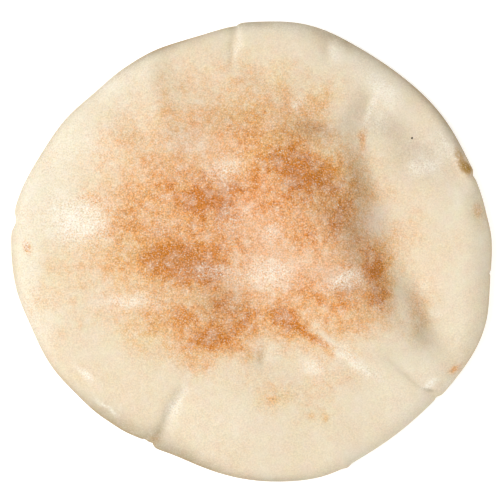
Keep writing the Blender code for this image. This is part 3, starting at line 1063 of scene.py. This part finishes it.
def dusting_flour():
    """Dry wheat flour, sifted over the dough before baking and clumped into grains.

    It gives matt white specks, some a little toasted, that stand proud of the crust and catch the light.
    """
    material, tree, shader = new_material("dusting flour")
    place = add_node(tree, "ShaderNodeTexCoord").outputs["Object"]
    clump = add_node(tree, "ShaderNodeTexNoise", {"Vector": place, "Scale": 1.0 / (2.5 * MM)}).outputs[0]
    stops = [(0.35, linear("F4E8D4")), (0.75, linear("E9D3B0"))]
    colour = add_node(tree, "ShaderNodeValToRGB", {0: clump}, stops=stops).outputs["Color"]
    tree.links.new(colour, shader.inputs["Base Color"])
    powder = add_node(tree, "ShaderNodeTexNoise", {"Vector": place, "Scale": 1.0 / (0.12 * MM)}).outputs[0]
    bump = add_node(
        tree, "ShaderNodeBump", {"Height": powder, "Distance": 0.04 * MM, "Strength": 0.5}
    ).outputs[0]
    tree.links.new(bump, shader.inputs["Normal"])
    shader.inputs["Roughness"].default_value = 0.95
    shader.inputs["Specular IOR Level"].default_value = 0.20
    return material


def charred_dough():
    """A flake of dough burnt to charcoal on the oven floor.

    It gives a black, faintly brown speck with a dull sheen on its broken faces.
    """
    material, tree, shader = new_material("charred dough")
    place = add_node(tree, "ShaderNodeTexCoord").outputs["Object"]
    ash = add_node(tree, "ShaderNodeTexNoise", {"Vector": place, "Scale": 1.0 / (0.25 * MM)}).outputs[0]
    stops = [(0.35, linear("1E1812")), (0.75, linear("4A3A28"))]
    colour = add_node(tree, "ShaderNodeValToRGB", {0: ash}, stops=stops).outputs["Color"]
    tree.links.new(colour, shader.inputs["Base Color"])
    bump = add_node(
        tree, "ShaderNodeBump", {"Height": ash, "Distance": 0.05 * MM, "Strength": 0.6}
    ).outputs[0]
    tree.links.new(bump, shader.inputs["Normal"])
    shader.inputs["Roughness"].default_value = 0.60
    return material


def new_object(data):
    """Links a new object with this mesh, light or camera into the scene, under the data's name."""
    made = bpy.data.objects.new(data.name, data)
    bpy.context.scene.collection.objects.link(made)
    return made


def new_piece(mesh, material):
    """Makes a piece of the mesh, with its material and slot, and lets it ride with the bread."""
    mesh.materials.append(material)
    piece = new_object(mesh)
    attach(piece, BODY)
    return piece


def length_prop(name, description, default):
    """A length in metres, shown in the scene's units."""
    return bpy.props.FloatProperty(
        name=name,
        description=description,
        default=default,
        min=0.0,
        precision=5,
        subtype="DISTANCE",
        unit="LENGTH",
    )


def count_prop(name, description, default):
    """How many of something."""
    return bpy.props.IntProperty(name=name, description=description, default=default, min=3)


def colour_prop(name, description, hex_colour):
    """A colour given as sRGB hex."""
    return bpy.props.FloatVectorProperty(
        name=name,
        description=description,
        default=linear(hex_colour),
        size=4,
        min=0.0,
        max=1.0,
        subtype="COLOR",
    )


def power_prop(name, description, default):
    """A light's power in watts."""
    return bpy.props.FloatProperty(
        name=name, description=description, default=default, min=0.0, unit="POWER"
    )


class PitaForm(bpy.types.PropertyGroup):
    """The bread's sizes."""

    base_radius: length_prop("Base radius", "The outline before its lobes and nicks", 0.0790)
    waist_height: length_prop("Waist height", "Where the rim is widest", 0.0042)
    shoulder_height: length_prop("Shoulder height", "Where the rim rolls over into the top", 0.0090)
    crown_rise: length_prop("Crown rise", "How much higher the middle is than the shoulder", 0.0048)
    rim_roll: length_prop("Rim roll", "How far in from the edge the rim rolls over", 0.0065)
    under_roll: length_prop("Under roll", "How far in from the edge the flat underside starts", 0.0100)
    nick_reach: length_prop("Nick reach", "How far in from the edge a nick still shows", 0.0120)
    # the width of the painted shade along the waist
    waist_shade_width: length_prop("Waist shade width", "How far in from the edge the painted shade along the waist shows", 0.0008)
    # the width of the painted shade on the rim's roll
    rim_shade_width: length_prop("Rim shade width", "How far in from the edge the painted shade on the rim's roll reaches", 0.0022)
    relief_fade: length_prop("Relief fade", "The last stretch before the edge where relief dies out", 0.0060)
    sectors: count_prop("Sectors", "Points around each ring", 640)
    top_rings: count_prop("Top rings", "Rings from the middle to the rim's roll", 108)
    roll_rings: count_prop("Roll rings", "Rings over the rim's roll", 16)
    tuck_rings: count_prop("Tuck rings", "Rings from the waist to the flat underside", 10)
    under_rings: count_prop("Under rings", "Rings over the flat underside", 20)


class PitaLook(bpy.types.PropertyGroup):
    """The crust's colours and the sizes of its patterns."""

    floured_dough: colour_prop("Floured dough", "Pale dough under dry flour", "EBE3CA")
    dough: colour_prop("Dough", "Pale dough that never browned", "E9DEBF")
    warm_dough: colour_prop("Warm dough", "Dough just turning", "E8D7B4")
    light_toast: colour_prop("Light toast", "Light golden toast", "E5BE8C")
    toast: colour_prop("Toast", "Golden brown toast", "DFA667")
    deep_toast: colour_prop("Deep toast", "Brown toast", "D59046")
    darkest_toast: colour_prop("Darkest toast", "The darkest toast", "C97E2C")
    # this colour also paints the shade along the waist
    scorch_and_waist_shade: colour_prop("Scorch and waist shade", "Dough scorched by the oven wall, and painted shade along the waist", "A67D34")
    flour: colour_prop("Flour", "Dusting flour", "F7F0E0")
    golden_tint: colour_prop("Golden tint", "Multiplies the crust where it is most golden", "FDFFFB")
    rosy_tint: colour_prop("Rosy tint", "Multiplies the crust where it is most rosy", "FFF3FF")
    # the colour of all painted shade: on the rim's roll, in hollows and valleys, and in creases
    painted_shade: colour_prop("Painted shade", "Multiplies the crust where shade is painted on the rim and in hollows and creases", "CECBC4")
    blotch_size: length_prop("Blotch size", "Width of the blotches in the toast", 0.0022)
    haze_size: length_prop("Haze size", "Width of the thin patches of flour", 0.0034)
    grain_size: length_prop("Grain size", "Width of the skin's grain", 0.0009)
    speck_size: length_prop("Speck size", "Width of a flour speck", 0.0005)
    grain_count: count_prop("Grain count", "How many loose grains of flour lie on the crust", 1500)
    loose_grain_size: length_prop("Loose grain size", "Half the width of a loose grain of flour", 0.00013)
    char_flake_size: length_prop("Char flake size", "Half the width of the burnt flake", 0.00038)
    skin_depth: length_prop("Skin depth", "Depth of the skin's fine bumps", 0.00012)


class PitaStudio(bpy.types.PropertyGroup):
    """The camera, lights and floor."""

    lens: bpy.props.FloatProperty(
        name="Lens",
        description="Focal length in millimetres",
        default=135.0,
        min=1.0,
        subtype="DISTANCE_CAMERA",
    )
    margin: bpy.props.FloatProperty(
        name="Margin",
        description="View width over the bread's width",
        default=1.046,
        min=1.0,
        subtype="FACTOR",
    )
    key_power: power_prop("Key power", "Soft window light from the left", 11.75)
    fill_power: power_prop("Fill power", "Broad light from above", 10.8)
    reflector_power: power_prop("Reflector power", "Weak light from the near right", 2.3)
    sky: bpy.props.FloatProperty(
        name="Sky", description="Even light from all round", default=0.22, min=0.0
    )
    glow: bpy.props.FloatProperty(
        name="Glow", description="Light that comes up through the white board", default=0.36, min=0.0
    )
    floor: colour_prop("Floor", "Plain pale floor", "FBFBFA")


class PITA_OT_crust(bpy.types.Operator):
    """Makes the bread's whole skin as one closed mesh, with its toast, flour, scorched rim and painted shade
    laid in
    """

    bl_idname = "pita.crust"
    bl_label = "Crust"

    def execute(self, context):
        form = context.scene.pita_form
        x, y, z, inset, below = crust_grid(form)
        pole_x, pole_y = x[:1].mean(axis=1), y[:1].mean(axis=1)
        radius = np.full(1, form.base_radius)
        top_pole = (pole_x[0], pole_y[0], crust_height_at(pole_x, pole_y, form)[0])
        under_pole = (pole_x[0], pole_y[0], underside_height(pole_x, pole_y, radius, form)[0])
        points, quads, fans = closed_skin(x, y, z, top_pole, under_pole)
        mesh = mesh_from("pita_crust", points, quads, fans)
        # the pole of the top and the pole of the underside come before the rings
        shares = skin_shares(x, y, z, pole_x, pole_y, form.top_rings + form.roll_rings)
        shares = np.concatenate([[0.0, 0.0], shares.ravel()])
        below = np.concatenate([[False, True], below.ravel()])
        inset = np.concatenate([radius, radius, inset.ravel()])
        bearing = np.arctan2(points[:, 1] - pole_y, points[:, 0] - pole_x)
        for name, strength in crust_marks(points[:, 0], points[:, 1], inset, bearing, below, form).items():
            paint(mesh, name, strength)
        lay_out_uv(mesh, shares, bearing, below)
        crust = new_piece(mesh, baked_wheat_crust(context.scene.pita_look))
        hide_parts("pita")
        return {"FINISHED"}


class PITA_OT_loose_flour(bpy.types.Operator):
    """Strews single grains of flour over the toast, thickest where the film of flour lies"""

    bl_idname = "pita.loose_flour"
    bl_label = "Loose Flour"

    def execute(self, context):
        form = context.scene.pita_form
        look = context.scene.pita_look
        chance = np.random.default_rng(41)
        tries = 60000
        # over a square a little wider than the bread
        x, y = (chance.random((2, tries)) - 0.5) * 2.1 * form.base_radius
        bearing = np.arctan2(y, x)
        inset = form.base_radius + lobes(bearing, OUTLINE) - np.hypot(x, y)
        browned = np.clip(2.0 * toast_amount(x, y, TOAST) - 0.4, 0.0, 1.0)
        likelihood = browned * (0.03 + 0.20 * painted(x, y, FLOUR))
        wanted = (inset > 3.0 * MM) & (chance.random(tries) < likelihood)
        kept = np.flatnonzero(wanted)[: look.grain_count]
        size = look.loose_grain_size * np.exp(0.35 * chance.standard_normal(len(kept)))
        mesh = lumps_on_crust("pita_loose_flour", x[kept], y[kept], size, 42, form)
        new_piece(mesh, dusting_flour())
        return {"FINISHED"}


class PITA_OT_char_flake(bpy.types.Operator):
    """Puts the one burnt flake on the crust"""

    bl_idname = "pita.char_flake"
    bl_label = "Char Flake"

    def execute(self, context):
        x, y = np.array(CHAR_FLAKE)[:, None]
        size = np.array([context.scene.pita_look.char_flake_size])
        mesh = lumps_on_crust("pita_char_flake", x, y, size, 43, context.scene.pita_form)
        new_piece(mesh, charred_dough())
        return {"FINISHED"}


class PITA_OT_studio(bpy.types.Operator):
    """Sets a plain pale floor, soft studio lights and the camera straight above"""

    bl_idname = "pita.studio"
    bl_label = "Studio"

    def execute(self, context):
        studio = context.scene.pita_studio
        scene = context.scene
        row = FLOOR_CELLS + 1
        across = np.linspace(-FLOOR_REACH, FLOOR_REACH, row)
        x, y = np.meshgrid(across, across)
        points = np.stack([x, y, np.zeros_like(x)], axis=-1).reshape(-1, 3)
        cell = np.arange(FLOOR_CELLS)
        corner = (cell[:, None] * row + cell).reshape(-1, 1)
        floor = new_object(mesh_from("floor", points, corner + np.array([[0, 1, row + 1, row]]), NO_FACES))
        material, _, shader = new_material("matt white board")
        shader.inputs["Base Color"].default_value = studio.floor
        shader.inputs["Roughness"].default_value = 0.9
        shader.inputs["Emission Color"].default_value = studio.floor
        shader.inputs["Emission Strength"].default_value = studio.glow
        floor.data.materials.append(material)
        self.add_light("window", (-0.75, 0.05, 0.95), 0.9, studio.key_power)
        self.add_light("ceiling", (0.45, 0.0, 1.8), 1.8, studio.fill_power)
        self.add_light("reflector", (0.60, -0.60, 0.70), 0.9, studio.reflector_power)
        world = bpy.data.worlds.new("studio")
        world.use_nodes = True
        background = world.node_tree.nodes["Background"]
        background.inputs["Color"].default_value = (1.0, 1.0, 1.0, 1.0)
        background.inputs["Strength"].default_value = studio.sky
        scene.world = world
        scene.view_settings.view_transform = "Standard"
        camera = new_object(bpy.data.cameras.new("camera"))
        camera.data.lens = studio.lens
        camera.data.clip_start = 0.01
        width = BREAD_HIGH.x - BREAD_LOW.x
        middle = (BREAD_LOW + BREAD_HIGH) / 2.0
        # far enough to see the bread and its margin at the height of the waist
        distance = width * studio.margin * studio.lens / camera.data.sensor_width
        camera.location = (middle.x, middle.y, scene.pita_form.waist_height + distance)
        scene.camera = camera
        return {"FINISHED"}

    def add_light(self, name, place, size, power):
        """A square soft box at place that faces the bread."""
        data = bpy.data.lights.new(name, "AREA")
        data.shape = "SQUARE"
        data.size = size
        data.energy = power
        light = new_object(data)
        light.location = place
        light.rotation_euler = (-light.location).to_track_quat("-Z", "Y").to_euler()


class PITA_PT_panel(bpy.types.Panel):
    """Lists the pieces and their settings"""

    bl_label = "Pita Bread"
    bl_idname = "PITA_PT_panel"
    bl_space_type = "VIEW_3D"
    bl_region_type = "UI"
    bl_category = "Pita"

    def draw(self, context):
        layout = self.layout
        for operator in OPERATORS:
            layout.operator(operator.bl_idname)
        for group in (context.scene.pita_form, context.scene.pita_look, context.scene.pita_studio):
            box = layout.box()
            for name in group.bl_rna.properties.keys():
                if name not in ("rna_type", "name"):
                    box.prop(group, name)


OPERATORS = (PITA_OT_crust, PITA_OT_loose_flour, PITA_OT_char_flake, PITA_OT_studio)
CLASSES = (PitaForm, PitaLook, PitaStudio) + OPERATORS + (PITA_PT_panel,)


def register():
    for cls in CLASSES:
        bpy.utils.register_class(cls)
    bpy.types.Scene.pita_form = bpy.props.PointerProperty(type=PitaForm)
    bpy.types.Scene.pita_look = bpy.props.PointerProperty(type=PitaLook)
    bpy.types.Scene.pita_studio = bpy.props.PointerProperty(type=PitaStudio)


def unregister():
    del bpy.types.Scene.pita_studio
    del bpy.types.Scene.pita_look
    del bpy.types.Scene.pita_form
    for cls in reversed(CLASSES):
        bpy.utils.unregister_class(cls)


def main():
    register()
    bpy.ops.pita.crust()
    bpy.ops.pita.loose_flour()
    bpy.ops.pita.char_flake()
    bpy.ops.pita.studio()


if __name__ == "__main__":
    main()
